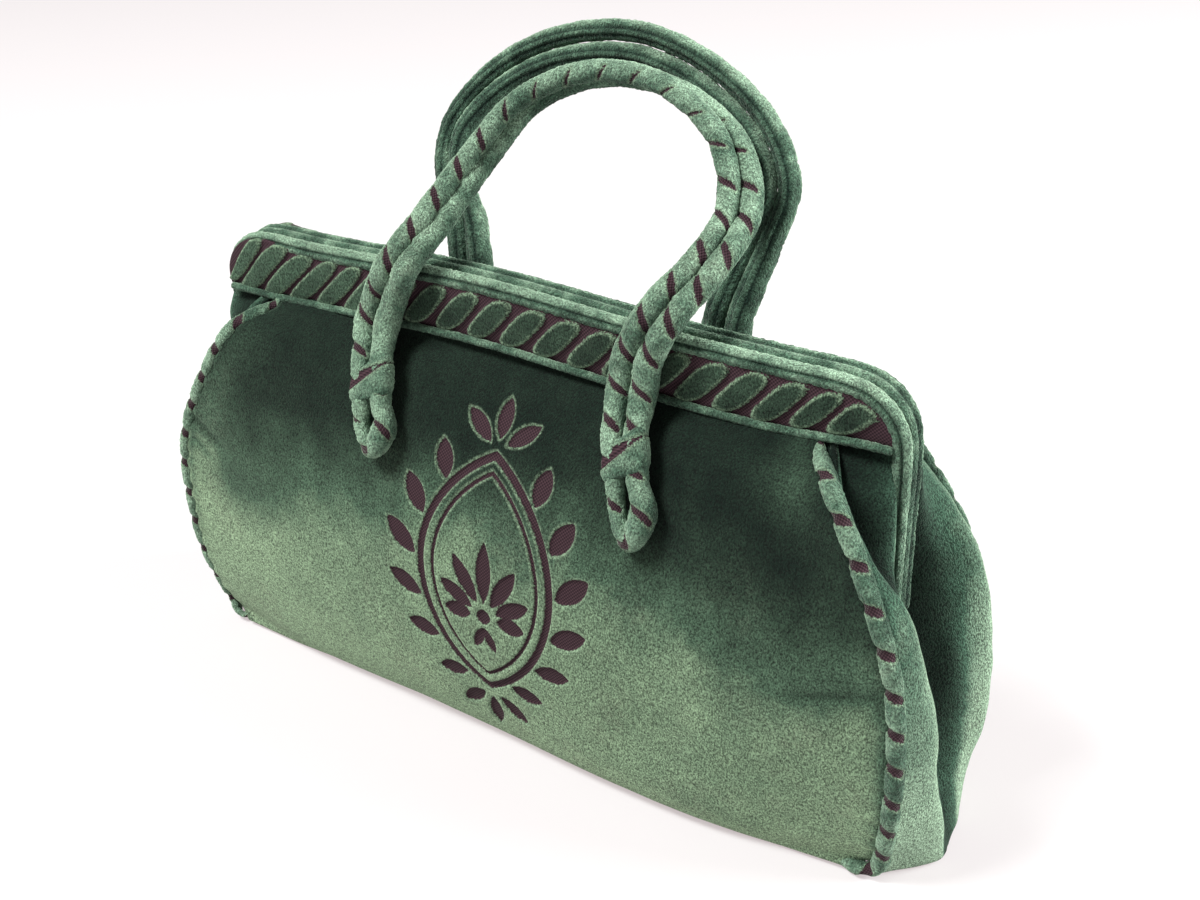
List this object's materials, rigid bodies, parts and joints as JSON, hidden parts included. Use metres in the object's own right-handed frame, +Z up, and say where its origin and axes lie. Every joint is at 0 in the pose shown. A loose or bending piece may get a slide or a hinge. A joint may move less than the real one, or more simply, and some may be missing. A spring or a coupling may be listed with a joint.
{
  "type": "handbag",
  "caption": "Velvet frame handbag with bulging panels, folded end gussets, piped seams, a leaf-patterned mouth band and arched handles of doubled cord.",
  "frame": {"origin": "middle of the base's flat underside, on the surface that the bag stands on", "axes": "+Z up, +X along the bag's width to the right seen from the front, -Y out of the front panel"},
  "size_m": [0.3318, 0.106, 0.2543],
  "materials": {
    "panel_velvet": "cut velvet pile, dark green with pale brushed zones",
    "trim_velvet": "velvet cord, pale green pile with dark plum dashes",
    "leaf_velvet": "voided velvet, green pile leaves on a dark plum weave"
  },
  "bodies": {
    "root": {"base": "panel_velvet", "left_gusset": "panel_velvet", "right_gusset": "panel_velvet", "front_panel": "panel_velvet", "back_panel": "panel_velvet", "front_piping": "trim_velvet", "back_piping": "trim_velvet", "front_roll": "trim_velvet", "back_roll": "trim_velvet", "front_strip": "leaf_velvet", "back_strip": "leaf_velvet", "front_edging": "trim_velvet", "back_edging": "trim_velvet", "front_handle": "trim_velvet", "back_handle": "trim_velvet", "front_left_sleeve": "trim_velvet", "front_right_sleeve": "trim_velvet", "back_left_sleeve": "trim_velvet", "back_right_sleeve": "trim_velvet"}
  },
  "joints": []
}
